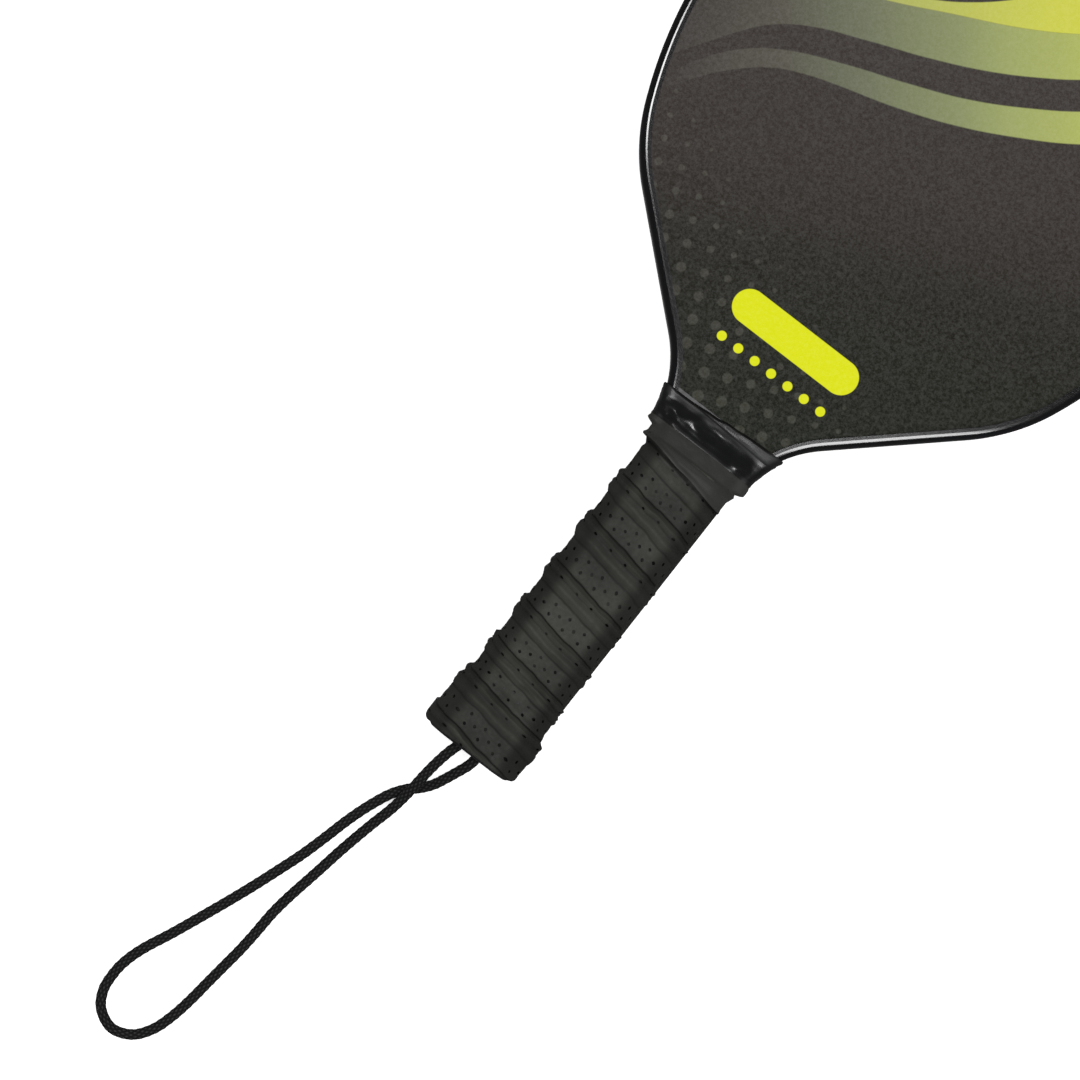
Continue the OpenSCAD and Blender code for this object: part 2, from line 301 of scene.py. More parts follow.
cordPlan = {
    "diameter": 3.8,
    "around": 32,     # faces round the cord
    "ring": 0.42,     # mm from one ring to the next
    "strands": 8,     # strands that wind each way
    "cell": 1.4,      # mm along the cord from one crossing to the next
    "relief": 0.26,   # mm that a strand stands proud
    "exit": (-3.8, -200, 18),
    "route": [
        (-3.8, -196.5, 18), (-3.8, -200, 18), (-5, -204.5, 17.6), (-6, -210, 16), (-6.6, -215.5, 13.9),
        (-7, -221, 11.4), (-7.6, -227, 8.6), (-8.6, -233, 6), (-10.6, -241.2, 3.4), (-13.2, -253.4, 1.95),
        (-15.4, -265.5, 1.95), (-17.7, -277.7, 1.95), (-18.8, -286, 1.95), (-19.2, -294, 1.95),
        (-19.8, -302, 1.95), (-20.8, -310, 1.95), (-21.8, -318, 1.95), (-22.8, -326.2, 1.95),
        (-24.3, -334.3, 1.95), (-26.8, -341.8, 1.95), (-31.4, -347.8, 1.95), (-38.4, -350.3, 1.95),
        (-45, -347.4, 1.95), (-48.4, -342, 1.95), (-49.2, -336, 1.95), (-48.7, -329.8, 1.95),
        (-46.4, -322.2, 1.95), (-41.8, -312, 1.95), (-37.6, -302, 1.95), (-33.5, -292, 1.95),
        (-29.6, -282, 1.95), (-26, -272, 1.95), (-22.9, -263, 1.95), (-20.2, -253.4, 1.95),
        (-18.1, -245.3, 1.95), (-15.5, -237.2, 2.3), (-12.1, -229, 3.6), (-8.6, -223.8, 5.4),
        (-4.8, -220, 7.6), (-2.1, -216.3, 10.4), (-0.2, -212.2, 13.2), (1.6, -207.8, 15.8),
        (3.2, -203.6, 17.5), (3.8, -200, 18), (3.8, -196.5, 18),
    ],
}


def braidLook():
    look = Look("braidedCord", Roughness=0.8, Specular_IOR_Level=0.15)
    around, along, unused = look.split(look.node("ShaderNodeUVMap", {"uv_map": "braid"}))
    strands = cordPlan["strands"]
    one = look.joined(around * strands + along / 2, around * strands - along / 2)
    across, other, unused = look.split(look.node("ShaderNodeVectorMath", {"operation": "FRACTION"}, {0: one}))
    rim = abs(across - 0.5) * 2
    end = abs(other - 0.5) * 2
    valley = look.rise(rim.maths("MAXIMUM", rim, end), 0.62, 1)
    yarn = look.grain(look.joined(around * 90, along * 3, 0), 1, 2)
    painted_strand_highlight = look.rise(rim.maths("MAXIMUM", rim, end), 0.6, 0.1)  # painted highlight along the middle of each strand
    colour = look.mix(look.rise(yarn, 0.3, 0.7), tone(8, 9, 9), tone(36, 37, 36))
    colour = look.mix(painted_strand_highlight * 0.5, colour, tone(74, 75, 74))
    # painted shade in the valleys between the strands
    colour = look.mix(valley * 0.9, colour, tone(7, 7, 7))
    return look.give(Base_Color=colour, Roughness=look.rise(yarn, 0.3, 0.7, 0.7, 0.85),
                     Normal=look.bump(yarn - valley * 0.6, 0.06 * mm, 0.7))


def braidHeight(turn, cells):
    # pillows where one strand lies over the other, as a share of the relief
    a = turn * cordPlan["strands"] + cells / 2
    b = turn * cordPlan["strands"] - cells / 2
    over = (math.floor(a) + math.floor(b)) % 2 == 0
    across, along = (a % 1, b % 1) if over else (b % 1, a % 1)
    return (1 - abs(2 * across - 1) ** 2.2) * (1 - 0.55 * abs(2 * along - 1) ** 2.5)


def makeCord():
    plan = cordPlan
    centre = spline([Vector(p) for p in plan["route"]], 40)
    lengths = [0]
    for a, b in zip(centre, centre[1:]):
        lengths.append(lengths[-1] + (b - a).length)
    rings = round(lengths[-1] / plan["ring"])
    radius = plan["diameter"] / 2
    points, faces, places = [], [], []
    at = 0
    side = Vector((0, 0, 1))
    for ring in range(rings + 1):
        goal = lengths[-1] * ring / rings
        while at < len(lengths) - 2 and lengths[at + 1] < goal:
            at += 1
        share = (goal - lengths[at]) / (lengths[at + 1] - lengths[at])
        place = centre[at].lerp(centre[at + 1], share)
        ahead = (centre[at + 1] - centre[at]).normalized()
        side = (side - ahead * side.dot(ahead)).normalized()
        other = ahead.cross(side)
        for k in range(plan["around"]):
            turn = k / plan["around"]
            lift = radius - plan["relief"] * (1 - braidHeight(turn, goal / plan["cell"]))
            angle = math.tau * turn
            points.append((place + (math.cos(angle) * side + math.sin(angle) * other) * lift) * mm)
            places.append((turn, goal / plan["cell"]))
    count = plan["around"]
    for ring in range(rings):
        for k in range(count):
            a, b = ring * count + k, ring * count + (k + 1) % count
            faces.append((a, b, b + count, a + count))
    faces.append(tuple(range(count - 1, -1, -1)))
    faces.append(tuple(rings * count + k for k in range(count)))
    mesh = bpy.data.meshes.new("braided_loop")
    mesh.from_pydata(points, [], faces)
    layer = mesh.uv_layers.new(name="braid")
    for face in mesh.polygons:
        seam = max(places[v][0] for v in face.vertices) - min(places[v][0] for v in face.vertices) > 0.5
        for loop in face.loop_indices:
            turn, cells = places[mesh.loops[loop].vertex_index]
            layer.data[loop].uv = (turn + (1 if seam and turn < 0.5 else 0), cells)
    cord = bpy.data.objects.new("braided_loop", mesh)
    bpy.context.scene.collection.objects.link(cord)
    smooth(cord, 60)
    settle(cord, "braided_loop", braidLook(), "braided_cord", "wrist_cord")
    path = [tuple(p * mm) for p in centre[::8]]
    print("cord", round(lengths[-1], 1), "mm")
    return cord


# ---- edge guard

guardPlan = {
    "lip": 3.8,        # seen width, mm
    "wall": 1.4,
    "slot": 6.8,       # half of the gap that holds the board
    "outerRound": 2.6,
    "innerRound": 1.25,
    "cornerRadius": 48,
    "tipTurn": 12,     # degrees
    "side": (158, 23),      # radius in mm, turn in degrees
    "shoulder": (70, 25),
    "neckRadius": 42,
    "flank": 48,
    "neckHalf": 19,
    "neckY": -77,
}


def guardLook():
    look = Look("guardPolymer", Roughness=0.2, Specular_IOR_Level=0.5, Coat_Weight=0.2,
                Coat_Roughness=0.1, Coat_IOR=1.6)
    place = look.objectPlace()
    haze = look.grain(place, 60, 4, 0.6)
    scuffs = look.grain(look.node("ShaderNodeMapping", None, {"Vector": place, "Scale": (1, 6, 1)}), 420, 3, 0.6)
    dust = look.rise(look.cells(place, 900), 0.06, 0.02)
    colour = look.mix(haze * 0.5, tone(7, 7, 9), tone(15, 15, 17))
    colour = look.mix(dust * 0.12, colour, tone(80, 80, 80))
    return look.give(Base_Color=colour, Roughness=look.rise(scuffs, 0.35, 0.75, 0.11, 0.18),
                     Normal=look.bump(look.grain(place, 60, 1), 0.05 * mm, 0.3))


def guardSection():
    # the channel's cross-section as a ring of edges, standing at the tip
    plan = guardPlan
    thick = guardHigh.z - guardLow.z
    centre = (0, guardHigh.y - plan["lip"] * mm / 2, midZ)
    bpy.ops.object.select_all(action="DESELECT")
    bpy.ops.mesh.primitive_plane_add(size=1, location=centre, rotation=(0, math.pi / 2, 0))
    guard = bpy.context.object
    guard.scale = (thick, plan["lip"] * mm, 1)
    applyPlace(guard)
    for outer, size, parts in ((True, plan["outerRound"], 7), (False, plan["innerRound"], 5)):
        pick(guard, "VERT", lambda v: (v.co.y > centre[1]) == outer and abs(v.co.z - midZ) > thick / 2 - mm / 10)
        bpy.ops.mesh.bevel(offset=size * mm, offset_type="OFFSET", segments=parts, affect="VERTICES", profile=0.5)
        objectMode()
    editMode(guard)
    for side in (-1, 1):
        bpy.ops.mesh.select_all(action="SELECT")
        bpy.ops.mesh.bisect(plane_co=(0, 0, midZ + side * plan["slot"] * mm), plane_no=(0, 0, 1))
    bpy.ops.mesh.select_all(action="SELECT")
    wallY = guardHigh.y - plan["wall"] * mm
    bpy.ops.mesh.bisect(plane_co=(0, wallY, 0), plane_no=(0, 1, 0))
    objectMode()
    pick(guard, "FACE", lambda f: f.center.y < wallY and abs(f.center.z - midZ) < plan["slot"] * mm)
    bpy.ops.mesh.delete(type="FACE")
    bpy.ops.mesh.select_all(action="SELECT")
    bpy.ops.mesh.region_to_loop()
    bpy.ops.mesh.select_all(action="INVERT")
    bpy.ops.mesh.delete(type="EDGE")
    bpy.ops.mesh.select_all(action="SELECT")
    return guard


def outlineMoves():
    # the outline from the tip down its right side: (radius, turn to the right in degrees) or (0, length)
    plan = guardPlan
    half = guardHigh.x / mm
    tip = math.radians(plan["tipTurn"])
    flank = math.radians(plan["flank"])
    sideRadius, sideTurn = plan["side"]
    shoulderRadius, shoulderTurn = plan["shoulder"]
    bend = math.radians(sideTurn)
    tipRadius = (half - plan["cornerRadius"] * (1 - math.sin(tip))) / math.sin(tip)
    cornerY = guardHigh.y / mm - tipRadius * (1 - math.cos(tip)) - plan["cornerRadius"] * math.cos(tip)
    gains = (plan["neckRadius"] * (1 - math.cos(flank))
             + shoulderRadius * (math.cos(bend) - math.cos(flank)) + sideRadius * (1 - math.cos(bend)))
    flankLength = (half - plan["neckHalf"] - gains) / math.sin(flank)
    sideY = (plan["neckY"] + plan["neckRadius"] * math.sin(flank) + flankLength * math.cos(flank)
             + shoulderRadius * (math.sin(flank) - math.sin(bend)) + sideRadius * math.sin(bend))
    hidden = math.degrees(math.asin((guardLow.y / mm - plan["neckY"]) / plan["neckRadius"]))
    return [(tipRadius, plan["tipTurn"]), (plan["cornerRadius"], 90 - plan["tipTurn"]), (0, cornerY - sideY),
            (sideRadius, sideTurn), (shoulderRadius, shoulderTurn), (0, flankLength),
            (plan["neckRadius"], hidden - plan["flank"])]


def makeGuard():
    guard = guardSection()
    at = Vector((0, guardHigh.y / mm, 0))
    heading = 0
    for radius, turn in outlineMoves():
        ahead = Vector((math.cos(heading), math.sin(heading), 0))
        right = Vector((ahead.y, -ahead.x, 0))
        if radius == 0:
            for part in range(4):
                bpy.ops.mesh.extrude_region_move(TRANSFORM_OT_translate={"value": ahead * turn / 4 * mm})
            at += ahead * turn
            continue
        angle = math.radians(turn)
        centre = at + right * math.copysign(radius, turn)
        bpy.ops.mesh.spin(steps=math.ceil(abs(turn) / 1.5), angle=angle, center=centre * mm, axis=(0, 0, 1))
        heading -= angle
        right = Vector((math.sin(heading), -math.cos(heading), 0))
        at = centre - right * math.copysign(radius, turn)
    bpy.ops.mesh.edge_face_add()  # closes the end inside the collar
    objectMode()
    mirror = guard.modifiers.new("otherSide", "MIRROR")
    mirror.merge_threshold = 0.01 * mm
    applyModifiers(guard)
    tidyMesh(guard)
    smooth(guard, 35)
    settle(guard, "moulded_guard", guardLook(), "guard_polymer", "edge_guard")


# ---- wound grip

gripPlan = {
    "halfWidth": 15.3,  # the foam under the wrap, mm
    "halfThick": 13.8,
    "bevel": 5,
    "soft": 4.2,        # how far the corners are rounded
    "pitch": 17.3,
    "laps": [-62.5, -79.8, -95.8, -113.5, -132.5, -149.5, -165, -179, -196, -213.5, -231],
    "relief": [(0, 0.5), (0.9, 1.3), (1.8, 2.3), (2.6, 1.9), (3.8, 1.4), (6.1, 2.2), (7.6, 1.6),
               (8.6, 0.95), (10, 1.05), (13.5, 0.88), (16.5, 1), (17, 0.95), (17.3, 0.5)],
    "rows": [0, 0.25, 0.6, 1, 1.4, 1.8, 2.2, 2.6, 3.1, 3.5, 3.8, 4.3, 4.9, 5.5, 6.1, 6.7, 7.3, 7.9,
             8.3, 8.7, 9.4, 10.2, 10.9, 11.6, 12.3, 13, 13.7, 14.3, 15, 15.7, 16.3, 16.8, 17.1, 17.3],
    "holeRows": {8: 4, 22: 0, 25: 4, 28: 0},  # row, and how far its holes are shifted in columns
    "holeColumns": 8,
    "columns": 120,      # to one turn
    "flatColumn": 0.92,  # mm, while the strip is still flat
    "flatRow": 0.62,
    "holeRadius": 0.66,
    "holeDepth": 0.8,
    "flare": [(-200, 2.3), (-190, 2.25), (-170, 0), (-60, 0)],
    "limit": 4.15,       # mm, the most that anything stands off the foam
    "topCut": -76.6,
    "buttCut": -199.2,
    "buttRound": (-196.9, 2.5),  # y where the end starts to turn in, and its radius
}


def gripLook():
    look = Look("gripLeatherette", Roughness=0.6, Specular_IOR_Level=0.14)
    place = look.objectPlace()
    along, across, unused = look.split(look.node("ShaderNodeUVMap", {"uv_map": "strip"}))
    pebbles = look.cells(place, 1500, "SMOOTH_F1")
    creases = look.grain(place, 700, 4, 0.65)
    patches = look.grain(place, 45, 3, 0.6)
    streaks = look.grain(look.joined(along * 0.12, across * 1.6, 0), 1, 3, 0.6)
    pitch = gripPlan["pitch"]
    # the next two masks are painted shade in the creases where the strip overlaps itself and along its two folds
    lap = look.rise(across, 0.7, 0.1) + look.rise(across, pitch - 0.3, pitch - 0.05)
    painted_fold_shade = look.rise(abs(across - 3.7), 0.8, 0.1) * 0.35 + look.rise(abs(across - 8.5), 0.6, 0.1) * 0.6
    # worn: painted highlight along the tops of the two ridges
    worn = look.rise(abs(across - 1.8), 0.7, 0.1) * 0.3 + look.rise(abs(across - 6.1), 1.5, 0.2) * 0.2
    hollow = look.node("ShaderNodeAttribute", {"attribute_name": "hollow"}, output="Fac")
    colour = look.mix(look.rise(patches, 0.25, 0.75), tone(40, 41, 38), tone(63, 64, 59))
    colour = look.mix(streaks * 0.3, colour, tone(60, 60, 55))
    # painted highlight on the ridge tops
    colour = look.mix(worn, colour, tone(66, 67, 61))
    # painted shade in those creases
    colour = look.mix(lap.maths("MAXIMUM", lap, painted_fold_shade) * 0.8, colour, tone(16, 16, 15))
    colour = look.mix(creases * 0.3, colour, tone(28, 29, 26))
    x, y, unused = look.split(place)
    colour = look.mix(look.rise(abs(x), 0.0085, 0.0135) * 0.62, colour, tone(20, 20, 19))  # painted shade: the bevels and sides darker than the front flat
    seam = look.rise(abs(y + x * 0.17 + 0.0819), 0.0011, 0.0003)  # painted shadow along the finishing tape's lower edge
    colour = look.mix(seam * 0.85, colour, tone(8, 8, 8))
    # painted shade inside the holes, deepest at their bottoms
    pit = look.rise(hollow, 0.05, 0.5) * look.rise(look.grain(place, 230, 1), 0.38, 0.62, 0.55, 1)
    colour = look.mix(pit, colour, tone(1, 1, 1))
    relief = pebbles * 0.3 + creases * 0.6 + streaks * 0.5
    return look.give(Base_Color=colour, Roughness=look.rise(creases, 0.3, 0.7, 0.52, 0.7),
                     Normal=look.bump(relief, 0.12 * mm, 0.8))


def handleSection():
    # places round the foam from the front's middle towards +X: (length so far, x, z, outward angle)
    plan = gripPlan
    soft = plan["soft"]
    w = plan["halfWidth"] - soft
    t = plan["halfThick"] - soft
    b = plan["bevel"] - (2 - math.sqrt(2)) * soft
    corners = [(w - b, t), (w, t - b), (w, b - t), (w - b, -t), (b - w, -t), (-w, b - t), (-w, t - b), (b - w, t)]
    places = [(0, 0, t + soft, 0)]
    for number, (x, z) in enumerate(corners):
        for step in range(9):
            angle = math.radians(45 * (number + step / 8))
            here = (x + soft * math.sin(angle), z + soft * math.cos(angle))
            so = places[-1][0] + math.dist(here, places[-1][1:3])
            places.append((so, *here, angle))
    places.append((places[-1][0] + abs(places[-1][1]), 0, t + soft, math.tau))
    return places


def sampleSection(places, share):
    goal = places[-1][0] * share
    for a, b in zip(places, places[1:]):
        if goal <= b[0]:
            part = (goal - a[0]) / max(1e-9, b[0] - a[0])
            return [a[k] + (b[k] - a[k]) * part for k in (1, 2, 3)]
    return places[-1][1:]


def lapHeight(turns):
    # where the strip's edge is after so many turns from the first lap
    laps = gripPlan["laps"]
    i = min(max(math.floor(turns), 0), len(laps) - 2)
    t = turns - i
    a, b, c, d = (laps[min(max(i + k, 0), len(laps) - 1)] for k in (-1, 0, 1, 2))
    return b + ((c - a) / 2 + ((2 * a - 5 * b + 4 * c - d) / 2 + (3 * b - a - 3 * c + d) / 2 * t) * t) * t


def windGrip():
    plan = gripPlan
    turns = len(plan["laps"]) - 2
    columns = turns * plan["columns"]
    rows = len(plan["rows"]) - 1
    flat = (columns * plan["flatColumn"] * mm, rows * plan["flatRow"] * mm)
    bpy.ops.object.select_all(action="DESELECT")
    bpy.ops.mesh.primitive_grid_add(x_subdivisions=columns, y_subdivisions=rows, size=1)
    grip = bpy.context.object
    grip.scale = (flat[0], flat[1], 1)
    applyPlace(grip)

    def spot(co):
        return (co.x / flat[0] + 0.5) * columns, (co.y / flat[1] + 0.5) * rows

    def punched(vert):
        column, row = (round(v) for v in spot(vert.co))
        shift = plan["holeRows"].get(row)
        return shift is not None and (column - shift) % plan["holeColumns"] == 0 and 0 < column < columns

    pick(grip, "VERT", punched)
    bpy.ops.mesh.bevel(offset=plan["holeRadius"] * mm, offset_type="OFFSET", segments=2,
                       affect="VERTICES", profile=0.12)
    bpy.ops.mesh.extrude_region_shrink_fatten(TRANSFORM_OT_shrink_fatten={"value": -plan["holeDepth"] * mm})
    objectMode()

    places = handleSection()
    table = [sampleSection(places, k / plan["columns"]) for k in range(plan["columns"] + 1)]
    layer = grip.data.uv_layers.active or grip.data.uv_layers.new()
    layer.name = "strip"
    strip, deep = [], []
    for vert in grip.data.vertices:
        column, row = spot(vert.co)
        column = min(max(column, 0), columns)
        row = min(max(row, 0), rows)
        k = min(int(row), rows - 1)
        across = plan["rows"][k] + (plan["rows"][k + 1] - plan["rows"][k]) * (row - k)
        turn = column / plan["columns"]
        top, low = lapHeight(turn), lapHeight(turn + 1)
        y = top + (low - top) * across / plan["pitch"]
        c = (turn % 1) * plan["columns"]
        i = int(c)
        x, z, angle = (table[i][n] + (table[i + 1][n] - table[i][n]) * (c - i) for n in range(3))
        here = Vector((x, y, z))
        y += 0.5 * noise.noise(here / 9) + 0.3 * noise.noise(here / 3.5)
        lift = through(plan["relief"], across)
        lift *= 1 + 0.22 * noise.noise(here / 7)
        folds = noise.noise(Vector((column / 11, across / 1.9, turn)))  # long creases along the strip
        folds *= ease(across, 0.3, 2) * ease(across, 17, 15) * (0.22 + 0.4 * math.exp(-((y + 172) / 9) ** 2))
        lift += folds + 0.09 * noise.noise(here / 2.2) + 0.06 * noise.noise(here / 1.1)
        lift += (1.15 - lift) * 0.8 * ease(y, -90, -84)  # the first turn lies flat
        lift *= 1 - 0.5 * ease(y, -82, -79.6)            # and is pressed down by the finishing tape
        lift = max(0.42, min(plan["limit"], lift + through(plan["flare"], y)) + vert.co.z / mm)
        beside = ease(abs(z), 9.5, 7) if abs(x) > 12 else 0
        lift = max(lift, beside * (tongueHalf(y) - plan["halfWidth"] + 0.35) + vert.co.z / mm * 0.25)
        start, radius = plan["buttRound"]
        turned = min(1, max(0, (start - y) / radius))
        lift -= radius * (1 - math.sqrt(1 - turned * turned))
        deep.append(-vert.co.z / (plan["holeDepth"] * mm))
        vert.co = Vector((x + math.sin(angle) * lift, y, midZ / mm + z + math.cos(angle) * lift)) * mm
        strip.append((column * plan["flatColumn"], across))
    for loop in grip.data.loops:
        layer.data[loop.index].uv = strip[loop.vertex_index]
    hollow = grip.data.attributes.new("hollow", "FLOAT", "POINT")
    hollow.data.foreach_set("value", deep)
    return grip


def trimGrip(grip):
    plan = gripPlan
    tidyMesh(grip, 0.004 * mm)
    editMode(grip)
    bpy.ops.mesh.select_all(action="SELECT")
    bpy.ops.mesh.bisect(plane_co=(0, plan["topCut"] * mm, 0), plane_no=(0, 1, 0), clear_outer=True)
    bpy.ops.mesh.extrude_region_move()
    bpy.ops.transform.resize(value=(0.9, 1, 0.9), center_override=(0, plan["topCut"] * mm, midZ))
    bpy.ops.mesh.select_all(action="SELECT")
    bpy.ops.mesh.bisect(plane_co=(0, plan["buttCut"] * mm, 0), plane_no=(0, -1, 0), clear_outer=True)
    bpy.ops.mesh.extrude_region_move()
    bpy.ops.transform.resize(value=(0.9, 1, 0.9), center_override=(0, 0, midZ))
    bpy.ops.mesh.select_all(action="DESELECT")
    bpy.ops.mesh.select_non_manifold(extend=False)
    bpy.ops.mesh.bridge_edge_loops()
    objectMode()
    tidyMesh(grip, 0.002 * mm)


def makeGrip():
    grip = windGrip()
    trimGrip(grip)
    smooth(grip, 50)
    settle(grip, "wound_grip", gripLook(), "grip_leatherette", "grip_wrap")


# ---- butt cap

capPlan = {
    "half": (17.2, 15.7),  # mm, half of its width and of its thickness
    "bevel": 6.2,
    "length": 26,
    "wall": 3,
    "skirt": 1.4,
    "round": 2.6,
    "hole": 2.05,          # radius of the cord's holes
    "holeX": 3.8,
}


def capLook():
    look = Look("capPlastic", Roughness=0.45, Specular_IOR_Level=0.35)
    place = look.objectPlace()
    fine = look.grain(place, 2400, 2)
    marks = look.grain(look.node("ShaderNodeMapping", None, {"Vector": place, "Scale": (400, 400, 60)}), 1, 3)
    colour = look.mix(marks * 0.5, tone(15, 15, 15), tone(30, 30, 30))
    return look.give(Base_Color=colour, Roughness=look.rise(marks, 0.3, 0.7, 0.38, 0.55),
                     Normal=look.bump(fine, 0.06 * mm, 0.5))


def addBlock(halfX, halfZ, low, high, bevel):
    # a block along Y whose four long edges are bevelled
    bpy.ops.object.select_all(action="DESELECT")
    bpy.ops.mesh.primitive_cube_add(size=1, location=(0, (low + high) / 2, midZ))
    block = bpy.context.object
    block.scale = (2 * halfX * mm, high - low, 2 * halfZ * mm)
    applyPlace(block)
    ends = block.data.vertices
    pick(block, "EDGE", lambda e: abs(ends[e.vertices[0]].co.y - ends[e.vertices[1]].co.y) > mm)
    bpy.ops.mesh.bevel(offset=bevel * mm, offset_type="OFFSET", segments=1, affect="EDGES")
    objectMode()
    return block


def cutAway(piece, tool):
    cut = piece.modifiers.new("cut", "BOOLEAN")
    cut.operation = "DIFFERENCE"
    cut.solver = "EXACT"
    cut.object = tool
    applyModifiers(piece)
    bpy.data.objects.remove(tool)


def makeCap():
    plan = capPlan
    halfX, halfZ = plan["half"]
    inner = plan["skirt"]
    cap = addBlock(halfX, halfZ, buttY, buttY + plan["length"] * mm, plan["bevel"])
    ends = cap.data.vertices
    pick(cap, "EDGE", lambda e: abs(ends[e.vertices[0]].co.y - ends[e.vertices[1]].co.y) > mm)
    bpy.ops.mesh.bevel(offset=1.6 * mm, offset_type="OFFSET", segments=3, affect="EDGES")
    objectMode()
    ends = cap.data.vertices
    pick(cap, "EDGE", lambda e: all(abs(ends[v].co.y - buttY) < mm / 100 for v in e.vertices))
    bpy.ops.mesh.bevel(offset=plan["round"] * mm, offset_type="OFFSET", segments=6, affect="EDGES")
    objectMode()
    cutAway(cap, addBlock(halfX - inner, halfZ - inner, buttY + plan["wall"] * mm,
                          buttY + (plan["length"] + 2) * mm, plan["bevel"] - 0.8))
    for side in (-1, 1):
        bpy.ops.mesh.primitive_cylinder_add(vertices=32, radius=plan["hole"] * mm, depth=12 * mm,
                                            location=(side * plan["holeX"] * mm, buttY, midZ),
                                            rotation=(math.pi / 2, 0, 0))
        cutAway(cap, bpy.context.object)
    tidyMesh(cap)
    ends = cap.data.vertices
    pick(cap, "EDGE", lambda e: all(
        abs(ends[v].co.y - buttY) < mm / 100
        and abs(math.hypot(abs(ends[v].co.x) - plan["holeX"] * mm, ends[v].co.z - midZ) - plan["hole"] * mm) < mm / 20
        for v in e.vertices))
    bpy.ops.mesh.bevel(offset=0.5 * mm, offset_type="OFFSET", segments=3, affect="EDGES")
    objectMode()
    tidyMesh(cap)
    top = buttY + plan["length"] * mm
    pick(cap, "VERT", lambda v: v.co.y > top - mm / 10)  # the skirt tapers under the wrap
    bpy.ops.transform.resize(value=(0.91, 1, 0.91), center_override=(0, top, midZ))
    objectMode()
    smooth(cap, 32)
    settle(cap, "moulded_cap", capLook(), "cap_plastic", "butt_cap")


# ---- tapes at the throat

neckPlan = {
    "handle": (15.9, 13.9, 5),  # half width, half thickness and bevel of the handle under the tape
    "rampTop": (-60.2, 7.1),    # y and half thickness where the handle's ramp meets the board
    "rampLow": (-79, 13.9),
    "boardHalf": 8.25,          # half thickness over the guard
    "tongue": ((-80.7, 15.3), (-77.2, 17.6)),  # y and half width, where the tongue starts to widen and stops
    "columns": 168,
    "sharp": 22,                # how crisp the handle's facets stay
    "boardSharp": 26,
}
bandPlan = {"low": -81.2, "tilt": -0.17, "high": -69.6, "rows": 36, "film": 0.95, "thick": 0.45}
collarPlan = {"low": -70.8, "high": -58.5, "tilt": 0.065, "rows": 60, "film": 1.15, "thick": 0.4, "face": 7}


def facetReach(angle, halfWidth, halfThick, bevel, sharp):
    # how far a bevelled section reaches from its middle at an angle from +Z towards +X
    slant = (halfWidth + halfThick - bevel) / math.sqrt(2)
    total = 0
    for k in range(8):
        far = (halfThick, slant, halfWidth, slant)[k % 4]
        total += max(0, math.cos(angle - math.radians(45 * k)) / far) ** sharp
    return total ** (-1 / sharp)


def neckHalf(y):
    plan = guardPlan
    rise = min(max(y - plan["neckY"], 0), plan["neckRadius"] - 1)
    return plan["neckHalf"] + plan["neckRadius"] - math.sqrt(plan["neckRadius"] ** 2 - rise ** 2)


def tongueHalf(y):
    # half the width of the board where it widens beside the handle, mm
    low, high = neckPlan["tongue"]
    share = min(1, max(0, (y - low[0]) / (high[0] - low[0])))
    return low[1] + (high[1] - low[1]) * share + max(0, y + 75) * 0.08


def neckReach(angle, y):
    # handle and board together, as a stretched tape would bridge them
    plan = neckPlan
    width, thick, bevel = plan["handle"]
    (topY, topHalf), (lowY, lowHalf) = plan["rampTop"], plan["rampLow"]
    ramp = topHalf + (lowHalf - topHalf) * min(1, max(0, (topY - y) / (topY - lowY)))
    handle = facetReach(angle, width, ramp, max(1.5, bevel - (lowHalf - ramp) * 0.55), plan["sharp"])
    end = -75.4 if math.sin(angle) > 0 else -73.2  # the guard's ends under the tape
    stump = ease(y, end - 2.2, end + 1)
    wide = neckHalf(max(y, -71)) + 0.9 * ease(y, -69.5, -72.5)
    least = tongueHalf(y) - 0.2 - 0.25 * ease(y, -77, -75.8)
    board = facetReach(angle, max(12 + (wide - 12) * stump, least), 7 + (plan["boardHalf"] - 7) * stump,
                       1.6, plan["boardSharp"])
    return (handle ** 14 + board ** 14) ** (1 / 14)


def makeTube(columns, rows, edges, reach):
    # a flat grid rolled into a tube: edges gives both ends at an x, and reach the radius
    bpy.ops.object.select_all(action="DESELECT")
    bpy.ops.mesh.primitive_grid_add(x_subdivisions=columns, y_subdivisions=rows, size=1)
    tube = bpy.context.object
    for vert in tube.data.vertices:
        angle = math.tau * (vert.co.x + 0.5)
        share = 0.5 - vert.co.y
        x = math.sin(angle) * 20
        low, high = edges(x)
        y = low + (high - low) * share
        far = reach(angle, y, share)
        vert.co = Vector((math.sin(angle) * far, y, midZ / mm + math.cos(angle) * far)) * mm
    tidyMesh(tube)
    return tube


def thicken(tube, thick):
    wall = tube.modifiers.new("wall", "SOLIDIFY")
    wall.thickness = thick * mm
    wall.offset = -1
    applyModifiers(tube)
    tidyMesh(tube, 0.001 * mm)


def bandLook():
    look = Look("matteTape", Roughness=0.55, Specular_IOR_Level=0.35)
    place = look.objectPlace()
    weave = look.grain(place, 1900, 3, 0.6)
    smear = look.grain(look.node("ShaderNodeMapping", None, {"Vector": place, "Scale": (40, 260, 40)}), 1, 3)
    colour = look.mix(smear, tone(40, 41, 39), tone(56, 56, 53))
    colour = look.mix(weave * 0.4, colour, tone(26, 26, 25))
    return look.give(Base_Color=colour, Roughness=look.rise(smear, 0.3, 0.7, 0.5, 0.72),
                     Normal=look.bump(weave * 0.5 + smear, 0.12 * mm, 0.6))


